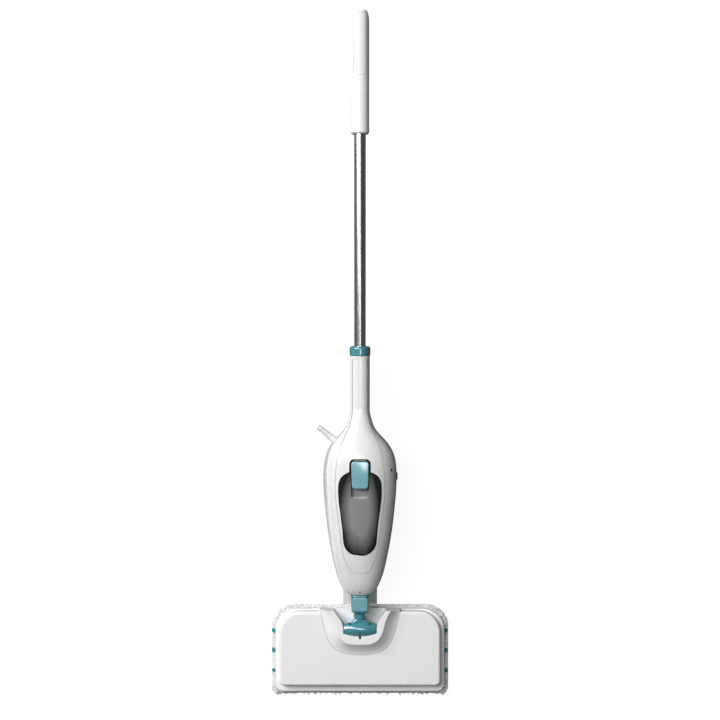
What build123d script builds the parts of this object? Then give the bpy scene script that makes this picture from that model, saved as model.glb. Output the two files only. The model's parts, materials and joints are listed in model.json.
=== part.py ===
from build123d import *
import math
import os

# A steam mop lying flat on its mop pad and on the heel of its handheld unit.
# Millimetres. Origin at the centre of the sole, +Y along the handle, +Z up.

# Head
pad_width = 315.0
pad_depth = 162.0
pad_height = 11.0
tab_reach = 118.0
base_width = 300.0
base_front = -71.0
base_back = 76.0
base_bottom = 12.4
base_top = 20.0
cover_width = 285.0
cover_front = -58.0
cover_back = 74.0
cover_top = 34.0
wall = 2.8

# Joint between head and handle
pivot_y = 45.0
pivot_z = 40.0
rest_slope = 3.8
barrel_radius = 13.5
barrel_half_length = 28.7
barrel_end_radius = 9.4
swivel_offset = 4.0
knuckle_radius = 17.4
knuckle_half_thickness = 8.0
tube_radius = 11.3
collar_start = 32.0
collar_end = 62.8
shroud_top = 48.5
shroud_floor = 22.5

# Handheld unit, lengths measured along the handle from the pivot
body_start = 63.4
neck_end = 481.0
neck_radius = 17.0
fascia_thickness = 2.0
fascia_groove = 0.7
tank_bezel = 1.4
front_wall = 3.8
rear_wall = 2.8
tank_back = 4.0
tank_gap = 0.5
dial_station = 268.6
dial_height = -15.0
trigger_pivot = (0, 431.5, -11.4)
section_exponent = 2.4
section_points = 8
# Station, half width, depth in front of the parting plane, depth behind it
body_sections = [
    (body_start, 19.0, 16.5, 16.5),
    (69.0, 26.5, 21.0, 21.5),
    (79.0, 32.5, 25.5, 27.0),
    (96.0, 39.5, 30.0, 33.5),
    (119.0, 45.5, 34.5, 40.5),
    (144.0, 50.6, 38.0, 46.0),
    (169.0, 54.9, 40.4, 50.0),
    (194.0, 58.2, 42.2, 53.0),
    (219.0, 60.8, 43.6, 55.2),
    (244.0, 63.0, 44.6, 57.0),
    (266.0, 63.9, 45.0, 58.3),
    (286.0, 63.4, 45.0, 59.9),
    (304.0, 60.6, 43.5, 60.9),
    (320.0, 54.0, 40.2, 56.5),
    (334.0, 43.5, 35.3, 47.5),
    (347.0, 31.5, 29.2, 37.0),
    (360.0, 23.6, 23.6, 28.0),
    (374.0, 19.2, 19.4, 21.2),
    (390.0, neck_radius, neck_radius, neck_radius),
]

# Pole and grip
pole_radius = 10.0
pole_wall = 0.9
pole_start = 441.0
pole_end = 965.0
ring_start = 481.3
ring_end = 497.3
grip_start = 861.0
grip_end = 1068.0
grip_half_width = 15.7
grip_wall = 2.4

running_gap = 0.05
parts = {}


def box(x, y, z):
    """Box from three (low, high) pairs."""
    size = [high - low for low, high in (x, y, z)]
    centre = [(high + low) / 2 for low, high in (x, y, z)]
    return Pos(*centre) * Box(*size)


def rod(radius, start, end):
    """Round bar between two points."""
    start = Vector(*start)
    end = Vector(*end)
    plane = Plane(origin=start, z_dir=end - start)
    return Solid.make_cylinder(radius, (end - start).length, plane)


def cone(start_radius, end_radius, start, end):
    start = Vector(*start)
    end = Vector(*end)
    plane = Plane(origin=start, z_dir=end - start)
    return Solid.make_cone(start_radius, end_radius, (end - start).length, plane)


def mirrored(points):
    """Closed outline from its right half, listed from bottom to top."""
    return points + [(-x, y) for x, y in reversed(points) if x > 0]


def spline_face(points):
    return Face(Wire([Spline(*points, periodic=True)]))


def prism(face, low, high):
    """Face in the XY plane extruded between two heights."""
    return Pos(0, 0, low) * extrude(face, high - low)


def rounded_plate(width, front, back, low, high, front_radius, back_radius):
    depth = back - front
    plate = Pos(0, (front + back) / 2, (low + high) / 2) * Box(width, depth, high - low)
    upright = plate.edges().filter_by(Axis.Z)
    plate = fillet(upright.sort_by(Axis.Y)[:2], front_radius)
    upright = plate.edges().filter_by(Axis.Z).sort_by(Axis.Y)[-2:]
    return fillet(upright, back_radius)


def tube_along(points, radii, outer, inner):
    """Bent pipe with an open bore."""
    path = FilletPolyline(*points, radius=radii)
    start = Plane(origin=path @ 0, z_dir=path % 0)
    skin = sweep(start * Circle(outer), path=path)
    bore = sweep(start * Circle(inner), path=path)
    return skin - bore


def helix_spring(coil_radius, wire_radius, pitch, height):
    path = Helix(pitch=pitch, height=height, radius=coil_radius)
    start = Plane(origin=path @ 0, z_dir=path % 0)
    return sweep(start * Circle(wire_radius), path=path, is_frenet=True)


def half_section(station, half_width, depth, side, skirt):
    """Half of a rounded cross-section, square to the handle, closed along the parting plane."""
    points = []
    for step in range(section_points + 1):
        angle = math.pi * step / section_points
        across = math.cos(angle)
        height = max(math.sin(angle), 0.0) if 0 < step < section_points else 0.0
        x = half_width * math.copysign(abs(across) ** (2 / section_exponent), across)
        z = side * depth * height ** (2 / section_exponent)
        points.append((x, station, z))
    arch = Spline(*points, tangents=((0, 0, side), (0, 0, -side)))
    if skirt == 0:
        return Wire([arch, Line(points[-1], points[0])])
    low = -side * skirt
    corners = [points[-1], (-half_width, station, low), (half_width, station, low), points[0]]
    return Wire([arch, *(Line(start, end) for start, end in zip(corners, corners[1:]))])


def half_form(sections, inset, side, skirt):
    wires = []
    for station, half_width, front, rear in sections:
        depth = front if side > 0 else rear
        wires.append(half_section(station, half_width - inset, depth - inset, side, skirt))
    return Solid.make_loft(wires)


def body_form(inset, side, skirt=0.0, past_end=0.0):
    """Front (side 1) or rear (side -1) half of the handheld unit's shape, drawn in by an inset."""
    sections = [(body_start + inset, *body_sections[0][1:])] + body_sections[1:]
    body = half_form(sections, inset, side, skirt)
    neck = [body_sections[-1], (neck_end + past_end, neck_radius, neck_radius, neck_radius)]
    return body + half_form(neck, inset, side, skirt)


# ---------------------------------------------------------------- head

def mop_pad():
    pad = rounded_plate(pad_width, -pad_depth / 2, pad_depth / 2, 0, pad_height, 16, 42)
    return fillet(pad.edges().group_by(Axis.Z)[-1], 5.0)


def pad_tab():
    tab = box((-30.5, 30.5), (pad_depth / 2 + 0.1, tab_reach), (2.0, 5.5))
    return fillet(tab.edges().filter_by(Axis.Z).sort_by(Axis.Y)[-2:], 10)


def hook_strips():
    strips = [box((-120, 120), (y - 11, y + 11), (pad_height, base_bottom)) for y in (-42, 34)]
    return Compound(children=strips)


def base_plate():
    tray = rounded_plate(base_width, base_front, base_back, base_bottom, base_top, 14, 38)
    tray = fillet(tray.edges().group_by(Axis.Z)[-1], 2.5)
    hollow = rounded_plate(
        cover_width - 16, cover_front + 8, cover_back - 8, base_bottom + 3, 40, 8, 30
    )
    tray -= hollow
    for x, y in cover_screw_places() + shroud_screw_places():
        tray += Pos(x, y, (base_bottom + base_top) / 2) * Cylinder(4.5, base_top - base_bottom)
        tray -= Pos(x, y, 14) * Cylinder(1.7, 20)
        tray -= Pos(x, y, base_bottom + 1.4) * Cylinder(3.6, 2.8)
    for x in range(-90, 91, 20):
        tray -= Pos(x, 0, 14) * Cylinder(1.6, 10)
    return tray


def cover_screw_places():
    return [(x, y) for x in (-118, 0, 118) for y in (-42, 54) if (x, y) != (0, 54)]


def shroud_screw_places():
    return [(-50, 60), (50, 60), (-24, 14.5), (24, 14.5)]


def base_screws():
    screws = []
    for x, y in cover_screw_places() + shroud_screw_places():
        head = Pos(x, y, base_bottom + 1.8) * Cylinder(3.3, 1.8)
        shank = Pos(x, y, base_bottom + 8.7) * Cylinder(1.3, 12)
        screws.append(head + shank)
    return Compound(children=screws)


def head_cover():
    cover = rounded_plate(
        cover_width, cover_front, cover_back, base_top + 0.1, cover_top, 10, 38
    )
    cover = fillet(cover.edges().group_by(Axis.Z)[-1], 5.0)
    hollow = rounded_plate(
        cover_width - 2 * wall,
        cover_front + wall,
        cover_back - wall,
        base_top - 1,
        cover_top - wall,
        7,
        35,
    )
    cover -= hollow
    for x, y in cover_screw_places():
        cover += Pos(x, y, 27) * Cylinder(4.2, 13.6)
        cover -= Pos(x, y, 24) * Cylinder(1.3, 14)
    return cover - prism(shroud_face(1.0, 0.6), 15, 60)


def shroud_outline(spread):
    """Right half of the horseshoe outline: 0 is its rim, 1 its foot."""
    rim = [(0, 18.6), (17, 19.6), (29, 24.6), (37, 34.5), (42.5, 51), (47.5, 66), (54, 77.5)]
    foot = [(0, -2.5), (24, -0.5), (44, 8.5), (57, 26), (63, 45), (67, 62), (71, 77.5)]
    return [
        (a[0] + (b[0] - a[0]) * spread, a[1] + (b[1] - a[1]) * spread)
        for a, b in zip(rim, foot)
    ]


def shroud_wire(spread, height, grow=0.0):
    half = shroud_outline(spread)
    centre = Vector(0, 45)
    points = []
    for x, y in [(-x, y) for x, y in reversed(half[1:])] + half:
        away = Vector(x, y) - centre
        moved = Vector(x, y) + away.normalized() * grow
        points.append((moved.X, moved.Y, height))
    curve = Spline(*points)
    return Wire([curve, Line(points[-1], points[0])])


def shroud_face(spread, grow):
    return Face(shroud_wire(spread, 0, grow))


def joint_shroud():
    foot_top = cover_top + 0.2
    levels = [(1.0, foot_top), (0.72, 36.2), (0.46, 39.6), (0.22, 43.8), (0.0, shroud_top)]
    rise = Solid.make_loft([shroud_wire(spread, height) for spread, height in levels])
    plug = prism(shroud_face(1.0, -0.1), base_top + 0.05, foot_top)
    shroud = rise + plug
    mouth = [(0, 45), (28.9, 45), (31.5, 57), (38, 67), (47, 79), (0, 90)]
    outline = Polyline(*mirrored(mouth), close=True)
    shroud -= prism(make_face(outline), shroud_floor, 60)
    shroud -= Pos(0, pivot_y, pivot_z) * barrel_form(0.4)
    # Cored out from below, around the joint well
    for side in (-1, 1):
        shroud -= box(sorted((side * 43, side * 56)), (28, 66), (15, 31))
    shroud -= box((-30, 30), (5, 24), (15, 31))
    for x, y in shroud_screw_places():
        shroud += Pos(x, y, 26.0) * Cylinder(4.5, 11.8)
        shroud -= Pos(x, y, 24) * Cylinder(1.3, 12)
    shroud -= rod(4.0, (-38.2, pivot_y, pivot_z), (38.2, pivot_y, pivot_z))
    shroud -= box((-1.7, 1.7), (28.4, 36), (43.5, 60))
    shroud -= rod(3.4, (-35, pivot_y, pivot_z), (-35, pivot_y, 10))
    return fillet(shroud.edges().group_by(Axis.Z)[-1], 1.2)


def stop_key():
    key = box((-1.6, 1.6), (28.6, 35.8), (43.7, shroud_top + 0.1))
    key -= rod(barrel_radius + 0.35, (-10, pivot_y, pivot_z), (10, pivot_y, pivot_z))
    return key.solids().sort_by(Axis.Y)[0]


def pivot_studs():
    """Hollow studs on the pitch axis, from the shroud into the barrel."""
    studs = []
    for side in (-1, 1):
        inner = side * 19.8
        outer = side * 38.1
        stud = rod(4.0, (inner, pivot_y, pivot_z), (outer, pivot_y, pivot_z))
        stud -= rod(2.2, (inner - side, pivot_y, pivot_z), (outer + side, pivot_y, pivot_z))
        studs.append(stud)
    studs[0] -= rod(2.0, (-35, pivot_y, pivot_z), (-35, pivot_y, 30))
    return Compound(children=studs)


def steam_diffuser():
    tray = box((-104, 104), (-9, 9), (base_bottom + 3.05, base_top - 0.2))
    tray = fillet(tray.edges().filter_by(Axis.Z), 6)
    tray -= box((-100, 100), (-6, 6), (10, base_bottom + 6.2))
    tray += box((-41, -29), (8.9, pivot_y + 5), (base_bottom + 3.05, base_bottom + 7.1))
    tray -= box((-37, -33), (-1, pivot_y), (10, base_bottom + 6.0))
    return tray


def steam_riser():
    """Pipe from the diffuser up to the hollow left stud."""
    pipe = rod(3.3, (-35, pivot_y, base_bottom + 7.2), (-35, pivot_y, pivot_z - 4.2))
    return pipe - rod(2.0, (-35, pivot_y, 10), (-35, pivot_y, pivot_z))


# ---------------------------------------------------------------- joint, in handle coordinates

def barrel_form(grow):
    """Crowned barrel along the X axis."""
    end = barrel_half_length + grow
    rim = barrel_end_radius + grow
    crown = ThreePointArc((-end, rim), (0, barrel_radius + grow), (end, rim))
    sides = [Line((end, rim), (end, 0)), Line((end, 0), (-end, 0)), Line((-end, 0), (-end, rim))]
    return revolve(Face(Wire([crown, *sides])), Axis.X)


def joint_barrel():
    barrel = barrel_form(0)
    barrel = fillet(barrel.edges().filter_by(GeomType.CIRCLE), 1.5)
    slot = knuckle_half_thickness + 0.3
    barrel -= box((-19.2, 19.2), (-8.5, 30), (-slot, slot))
    barrel -= rod(4.0 + running_gap, (-40, 0, 0), (40, 0, 0))
    barrel -= rod(3.0, (0, swivel_offset, -20), (0, swivel_offset, 11.0))
    notch = Polyline((-3.4, -14), (3.4, -14), (0, -6.0), close=True)
    return barrel - prism(make_face(notch), 4.0, 16)


def swivel_pin():
    return rod(2.98, (0, swivel_offset, -12.0), (0, swivel_offset, 10.9))


def neck_tube():
    thick = knuckle_half_thickness
    dome = Pos(0, swivel_offset, 0) * Cylinder(knuckle_radius, 2 * thick)
    dome = fillet(dome.edges(), 4.0)
    dome &= box((-30, 30), (swivel_offset, 60), (-20, 20))
    hub = Pos(0, swivel_offset, 0) * Cylinder(12.0, 2 * thick)
    tube = rod(tube_radius, (0, 20.5, 0), (0, 52.0, 0))
    throat = cone(8.0, tube_radius, (0, 16.0, 0), (0, 20.6, 0))
    neck = dome + hub + tube + throat
    neck -= rod(3.0 + running_gap, (0, swivel_offset, -20), (0, swivel_offset, 20))
    neck -= rod(7.5, (0, 26.0, 0), (0, 60.0, 0))
    return neck - rod(2.5, (0, swivel_offset + 5, 0), (0, 30.0, 0))


def swivel_seal():
    ring = rod(7.4, (0, 26.3, 0), (0, 31.0, 0))
    return ring - rod(2.6, (0, 20, 0), (0, 40, 0))


def collar():
    low = Plane(origin=(0, collar_start, 0), z_dir=(0, 1, 0))
    high = Plane(origin=(0, collar_end, 0), z_dir=(0, 1, 0))
    wires = [
        (low * RectangleRounded(33.0, 30.0, 9)).wire(),
        (high * RectangleRounded(36.8, 32.6, 9)).wire(),
    ]
    shell = Solid.make_loft(wires)
    ends = shell.edges().group_by(Axis.Y)
    shell = fillet(ends[0] + ends[-1], 1.4)
    shell -= rod(tube_radius + 0.02, (0, 20, 0), (0, 52.2, 0))
    shell -= rod(7.3, (0, 50, 0), (0, 70, 0))
    shell -= rod(9.2, (0, 60.0, 0), (0, 70, 0))
    # Pocket and finger slot of the release button
    shell -= box((-13.9, 13.9), (35.2, 60.2), (12.2, 20))
    return shell


def release_button():
    button = box((-13.5, 13.5), (35.6, 59.8), (14.4, 19.4))
    button = fillet(button.edges().filter_by(Axis.Z), 4.0)
    return fillet(button.edges().group_by(Axis.Z)[-1], 1.4)


def button_spring():
    """Bent leaf spring in the button's pocket."""
    leaf = box((-4, 4), (38, 57), (12.25, 12.65))
    return leaf + box((-4, 4), (46.5, 48.5), (12.6, 12.95))


def spigot_seals():
    seals = []
    for station in (54.6, 58.2):
        ring = rod(7.25, (0, station - 0.7, 0), (0, station + 0.7, 0))
        seals.append(ring - rod(6.1, (0, station - 2, 0), (0, station + 2, 0)))
    return Compound(children=seals)


# ---------------------------------------------------------------- handheld unit

def fascia_outline(grow):
    edge = [
        (13 + grow, 108.5 - grow), (25.5 + grow, 129), (33.5 + grow, 172), (39.5 + grow, 220),
        (42.3 + grow, 262), (40.5 + grow, 292), (32.5 + grow, 328), (20.5 + grow, 354),
        (13.6 + grow, 378), (12.6 + grow, 402), (12.6 + grow, 440), (12.6 + grow, 470),
    ]
    left = [(-x, y) for x, y in reversed(edge)]
    brow = (7.6, 476.5 + grow)
    side = Spline(*edge)
    other = Spline(*left)
    foot = Spline(left[-1], (0, 106.2 - grow), edge[0])
    right_corner = Spline(edge[-1], brow, tangents=((0, 1), (-1, 0)))
    left_corner = Spline((-brow[0], brow[1]), left[0], tangents=((-1, 0), (0, -1)))
    top = Line(brow, (-brow[0], brow[1]))
    return Face(Wire([side, right_corner, top, left_corner, other, foot]))


def window_outline(grow):
    """Drop-shaped outline of the water tank, without its latch shelf."""
    right = [
        (0, 140 - grow), (15, 142.5 - grow), (24.5 + grow, 152), (28.2 + grow, 172),
        (32.5 + grow, 212), (36.2 + grow, 256), (32.5 + grow, 273), (19, 283 + grow),
        (0, 285.5 + grow),
    ]
    return spline_face(mirrored(right))


def latch_slot_outline(grow):
    slot = Pos(0, 282) * RectangleRounded(2 * (17.0 + grow), 47.0 + 2 * grow, 7.0 + grow)
    return slot


def tank_prism(grow, low, high):
    return prism(window_outline(grow), low, high) + prism(latch_slot_outline(grow), low, high)


def latch_prism(grow, low, high):
    start = 256.2 - grow
    end = 302.6 + grow
    points = [(-13.8 - grow, start), (13.8 + grow, start), (15.3 + grow, end), (-15.3 - grow, end)]
    solid = prism(make_face(Polyline(*points, close=True)), low, high)
    return fillet(solid.edges().filter_by(Axis.Z), 5.0)


def screw_places():
    return [(-29, 100), (29, 100), (-50, 215), (50, 215), (-41, 314), (41, 314)]


def housing_front(outer):
    hollow = body_form(front_wall, 1, 1.0, 5.0)
    shell = outer - hollow
    ledge = body_form(fascia_thickness + 0.1, 1, 1.0, 5.0)
    shell -= prism(fascia_outline(fascia_groove), 3, 90) - ledge
    bosses = body_form(front_wall - 0.6, 1)
    for x, y in screw_places():
        shell += (Pos(x, y, 22) * Cylinder(4.2, 44)) & bosses
    for x, y in screw_places():
        shell -= Pos(x, y, 7) * Cylinder(1.3, 16)
    shell -= tank_prism(tank_bezel, 1, 90)
    shell -= rod(7.05, (0, 60, 0), (0, 80, 0))
    lamp_start, lamp_end = lamp_axis()
    shell -= rod(2.7, lamp_start, lamp_end)
    shell -= rod(1.6, (0, 71, 12), (0, 71, 40))
    return shell


def lamp_axis():
    return (47.4, 285.6, 21.8), (60.0, 285.6, 32.9)


def housing_rear():
    shell = body_form(0, -1) - body_form(rear_wall, -1, 1.0, 5.0)
    bosses = body_form(1.2, -1)
    for x, y in screw_places():
        shell += (Pos(x, y, -40) * Cylinder(5.0, 80)) & bosses
    for x, y in screw_places():
        shell -= Pos(x, y, -52) * Cylinder(3.6, 76)
        shell -= Pos(x, y, -6) * Cylinder(1.7, 30)
    shell -= rod(7.05, (0, 60, 0), (0, 80, 0))
    # Trigger slot and pin sockets, dial well and cord entry
    shell -= trigger_pin()
    shell -= box((-6.4, 6.4), (392.0, 437.0), (-40, -8))
    shell -= rod(13.4, (50, dial_station, dial_height), (80, dial_station, dial_height))
    start, end, way = cord_axis()
    shell -= rod(6.6, start - way * 12, end)
    return shell


def front_fascia(outer):
    panel = outer - body_form(fascia_thickness, 1, 1.0, 5.0)
    panel &= prism(fascia_outline(0), 3, 90)
    return panel - tank_prism(tank_bezel, 1, 90)


def tank_bay():
    """Cup behind the tank, with a bezel that shows around it."""
    seat = tank_prism(0.2, 3.4, 95)
    cup = tank_prism(tank_bezel + 0.7, 1.2, 90) - seat
    cup &= body_form(front_wall + 0.15, 1)
    bezel = tank_prism(tank_bezel - 0.15, 3.4, 90) - seat
    cup += bezel & body_form(0.9, 1)
    cup -= Pos(0, 208, 0) * Cylinder(6.6, 20)
    return cup


def water_tank():
    clear = -tank_gap
    tank = tank_prism(clear, tank_back, 90) & body_form(1.2, 1)
    tank += tank_prism(clear - 0.9, tank_back, 90) & body_form(0.3, 1)
    inside = prism(window_outline(-tank_gap - 2.2), tank_back + 2.2, 90) & body_form(2.9, 1)
    inside -= box((-19, 19), (236, 320), (33.5, 90))
    inside -= Pos(0, 250, 0) * Cylinder(16, 24)
    tank -= inside
    # Latch bed with its finger recess, then the guide and spring channels
    bed = Pos(0, 271.5) * RectangleRounded(31.6, 65.0, 5.6)
    tank -= prism(bed, 36.0, 90)
    tank -= box((-7.6, 7.6), (291.5, 302.2), (31.6, 40.6))
    tank -= box((-2.9, 2.9), (284.0, 292), (33.2, 38))
    # Filler opening and valve hole in the back
    tank -= Pos(0, 250, 5) * Cylinder(13.2, 11)
    tank -= Pos(0, 250, 10) * Cylinder(9.0, 8)
    tank -= Pos(0, 208, 5) * Cylinder(5.0, 8)
    return tank


def tank_cap():
    cap = Pos(0, 250, 6.9) * Cylinder(12.9, 5.4)
    cap += Pos(0, 250, 10.8) * Cylinder(8.7, 3.0)
    grip = box((-10, 10), (248.6, 251.4), (3.9, 6.4))
    recess = Pos(0, 250, 5.2) * Cylinder(10.8, 2.4)
    return cap - recess + grip


def tank_valve():
    """Spring valve that opens when the tank is seated."""
    stem = Pos(0, 208, 4.2) * Cylinder(4.9, 4.0)
    stem += Pos(0, 208, 1.4) * Cylinder(3.2, 5.0)
    return stem + Pos(0, 208, 7.8) * Cylinder(1.6, 4.0)


def tank_latch(proud):
    plate = latch_prism(0, 37.6, 90) & proud
    plate = fillet(plate.faces().sort_by(Axis.Z)[-1].edges(), 1.4)
    tongue = box((-7.0, 7.0), (296.0, 301.8), (33.0, 38.0))
    return plate + tongue


def latch_spring():
    """Coil that pushes the latch up into its catch."""
    coil = helix_spring(1.6, 0.3, 1.5, 6.0)
    return Pos(0, 289.4, 35.4) * Rot(-90, 0, 0) * coil


def steam_spigot():
    spigot = rod(7.0, (0, 46.0, 0), (0, 66.4, 0))
    spigot += rod(11.0, (0, 67.4, 0), (0, 70.4, 0)) + rod(5.0, (0, 66, 0), (0, 80, 0))
    for station in (54.6, 58.2):
        groove = rod(8.0, (0, station - 0.8, 0), (0, station + 0.8, 0))
        spigot -= groove - rod(6.05, (0, station - 2, 0), (0, station + 2, 0))
    return spigot - rod(2.5, (0, 40, 0), (0, 90, 0))


def boiler():
    block = rod(17.0, (0, 122, -18.5), (0, 194, -18.5))
    block -= rod(8.0, (0, 126, -18.5), (0, 190, -18.5))
    for side in (-1, 1):
        block -= rod(3.3, (side * 12, 140, -18.5), (side * 12, 200, -18.5))
    return block + rod(3.4, (0, 116, -18.5), (0, 122.5, -18.5)) - rod(
        2.0, (0, 110, -18.5), (0, 128, -18.5)
    )


def heating_element():
    rods = [rod(3.2, (x, 140.2, -18.5), (x, 200, -18.5)) for x in (-12, 12)]
    tabs = [box((x - 2.2, x + 2.2), (199.9, 207), (-18.9, -18.1)) for x in (-12, 12)]
    bars = [rods[0] + tabs[0], rods[1] + tabs[1]]
    return Compound(children=bars)


def thermostats():
    discs = []
    for station in (140, 168):
        disc = rod(8.0, (17.1, station, -18.5), (23.0, station, -18.5))
        disc += box((22.9, 26.5), (station - 3, station + 3), (-19.0, -18.0))
        discs.append(disc)
    return Compound(children=discs)


def steam_pipe():
    route = [(0, 115.8, -18.5), (0, 104, -18.5), (0, 92, 0), (0, 80.2, 0)]
    return tube_along(route, 9.0, 4.0, 2.2)


def pump():
    body = rod(12.0, (-24, 226, -28), (-24, 276, -28))
    body += box((-39, -9), (238, 264), (-43, -13))
    body += rod(3.0, (-24, 218, -28), (-24, 282, -28))
    return body - rod(1.6, (-24, 210, -28), (-24, 290, -28))


def pump_mounts():
    rings = []
    for low, high in ((228, 234), (268, 274)):
        ring = rod(16.0, (-24, low, -28), (-24, high, -28))
        rings.append(ring - rod(12.05, (-24, low - 1, -28), (-24, high + 1, -28)))
    return Compound(children=rings)


def valve_seat():
    seat = Pos(0, 208, -2.6) * Cylinder(6.4, 7.4)
    seat -= Pos(0, 208, 0.4) * Cylinder(3.6, 6.0)
    seat += rod(2.6, (-5.5, 208, -3.2), (-11, 208, -3.2))
    return seat - rod(1.5, (-2, 208, -3.2), (-12, 208, -3.2)) - rod(1.5, (0, 208, 0), (0, 208, -4))


def water_hose():
    return tube_along(
        [(-11.1, 208, -3.2), (-24, 208, -3.2), (-24, 208, -28), (-24, 217.8, -28)], 6.0, 2.9, 1.6
    )


def boiler_hose():
    route = [
        (-24, 282.2, -28), (-24, 296, -28), (-4, 296, -28), (-4, 212, -28), (0, 204, -18.5),
        (0, 194.2, -18.5),
    ]
    return tube_along(route, 4.6, 2.9, 1.6)


def circuit_board():
    board = box((10, 46), (222, 292), (-30.0, -28.4))
    board += box((14, 30), (228, 248), (-28.5, -16))
    board += box((33, 43), (230, 246), (-28.5, -20))
    board += rod(5, (22, 262, -28.5), (22, 262, -12))
    return board + rod(5, (36, 268, -28.5), (36, 268, -18))


def indicator_lamp():
    start, end = lamp_axis()
    return rod(2.6, start, end) & body_form(-0.3, 1)


def steam_dial():
    disc = rod(13.0, (58.4, dial_station, dial_height), (63.4, dial_station, dial_height))
    disc = fillet(disc.edges().group_by(Axis.X)[-1], 1.2)
    ridge = box((62.5, 66.0), (dial_station - 6.2, dial_station + 6.2), (-17.4, -12.6))
    ridge = fillet(ridge.edges().group_by(Axis.X)[-1], 1.5)
    stem = rod(2.5, (50.2, dial_station, dial_height), (58.5, dial_station, dial_height))
    return disc + ridge + stem


def dial_switch():
    case = box((47, 57.5), (dial_station - 8, dial_station + 8), (-23, -7))
    return case - rod(2.5 + running_gap, (50, dial_station, -15), (60, dial_station, -15))


def steam_trigger():
    """Finger lever on the back of the neck, hinged at its upper end."""
    lever = [
        (395, -12.6), (395, -17.5), (400, -23.6), (412, -25.2), (426, -21.4), (434.8, -15.2),
        (435.5, -10.2), (430, -8.6),
    ]
    outline = Polyline(*[(0, y, z) for y, z in lever], close=True)
    body = extrude(make_face(outline), 5.9, both=True, dir=(1, 0, 0))
    body = fillet(body.edges().filter_by(Axis.X, reverse=True), 1.0)
    return body - rod(1.5 + running_gap, (-10, *trigger_pivot[1:]), (10, *trigger_pivot[1:]))


def trigger_pin():
    return rod(1.5, (-9.5, *trigger_pivot[1:]), (9.5, *trigger_pivot[1:]))


def trigger_switch():
    case = box((-5, 5), (372, 390), (-12.5, -4))
    return case + box((-2, 2), (389.9, 398), (-8.6, -8.2))


def cord_axis():
    way = Vector(-math.cos(math.radians(39)), math.sin(math.radians(39)), 0)
    start = Vector(-40.0, 329.0, -12.0)
    return start, start + way * 43.0, way


def strain_relief():
    start, end, way = cord_axis()
    sleeve = cone(6.5, 4.5, start, end)
    flange = rod(9.0, start - way * 4.0, start + way * 0.1)
    sleeve += flange
    for ring in range(4):
        place = start + way * (15.0 + 6.0 * ring)
        radius = 6.3 - 0.28 * ring
        groove = rod(10, place, place + way * 2.0) - rod(radius - 1.2, place - way, place + way * 3)
        sleeve -= groove
    sleeve -= rod(4.3, start - way * 12, start + way * 12)
    return sleeve - rod(3.6, start, end + way)


def cord_clamp():
    start, end, way = cord_axis()
    place = start - way * 14.0
    return rod(6.0, place - way * 4, place + way * 4) - rod(3.6, place - way * 6, place + way * 6)


def housing_screws():
    screws = []
    for x, y in screw_places():
        head = Pos(x, y, -15.0) * Cylinder(3.2, 2.0)
        screws.append(head + Pos(x, y, -1.6) * Cylinder(1.3, 25.0))
    return Compound(children=screws)


def pole_socket():
    sleeve = rod(13.1, (0, 437.6, 0), (0, 480.8, 0))
    sleeve -= rod(pole_radius + 0.06, (0, 440.9, 0), (0, 490, 0))
    return sleeve - rod(7.0, (0, 430, 0), (0, 450, 0))


def pole_ring():
    ring = rod(18.0, (0, ring_start, 0), (0, ring_end, 0))
    rims = ring.edges().filter_by(GeomType.CIRCLE).sort_by(Axis.Y)
    ring = fillet(rims[-1], 3.6)
    rims = ring.edges().filter_by(GeomType.CIRCLE).sort_by(Axis.Y)
    ring = fillet(rims[0], 1.2)
    return ring - rod(pole_radius + 0.3, (0, 470, 0), (0, 510, 0))


# ---------------------------------------------------------------- pole and grip

def pole():
    tube = rod(pole_radius, (0, pole_start, 0), (0, pole_end, 0))
    return tube - rod(pole_radius - pole_wall, (0, 400, 0), (0, 1000, 0))


def pole_plug(start, end):
    inner = pole_radius - pole_wall
    plug = rod(inner - 0.02, (0, start, 0), (0, end, 0))
    return plug - rod(inner - 2.2, (0, start - 1, 0), (0, end - 2.0, 0))


def grip_form(inset, side, skirt=0.0):
    shoulder = grip_end - 20.0
    foot = [(grip_start + inset, grip_half_width - 1.6), (grip_start + 2.0, grip_half_width)]
    straight = [(grip_start + 2.0, grip_half_width), (shoulder, grip_half_width)]
    crown = [
        (shoulder, grip_half_width), (grip_end - 14.0, 15.5), (grip_end - 8.5, 14.9),
        (grip_end - 4.0, 13.8), (grip_end - inset, 11.8),
    ]
    stretches = [straight, crown] if inset > 1.5 else [foot, straight, crown]
    halves = []
    for ends in stretches:
        sections = [(station, width, width, width * 1.1) for station, width in ends]
        halves.append(half_form(sections, inset, side, skirt))
    return halves[0] + halves[1:]


def grip_shell(side):
    shell = grip_form(0, side) - grip_form(grip_wall, side, 1.0)
    return shell - rod(pole_radius + 0.05, (0, 850, 0), (0, 870, 0))


def grip_inlay_prism(grow):
    slot = Pos(0, 1010.5) * RectangleRounded(2 * (10.6 + grow), 103 + 2 * grow, 6.0 + grow)
    return prism(slot, 5, 40)


def grip_front():
    return grip_shell(1) - (grip_inlay_prism(0.45) - grip_form(1.1, 1, 1.0))


def grip_rear():
    return grip_shell(-1)


def grip_inlay():
    return (grip_form(-0.15, 1) - grip_form(1.05, 1, 1.0)) & grip_inlay_prism(0)


def grip_core():
    sleeve = rod(12.9, (0, grip_start + 3.0, 0), (0, pole_end + 6, 0))
    return sleeve - rod(pole_radius + 0.02, (0, 850, 0), (0, pole_end + 0.1, 0))


# ---------------------------------------------------------------- assembly

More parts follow.
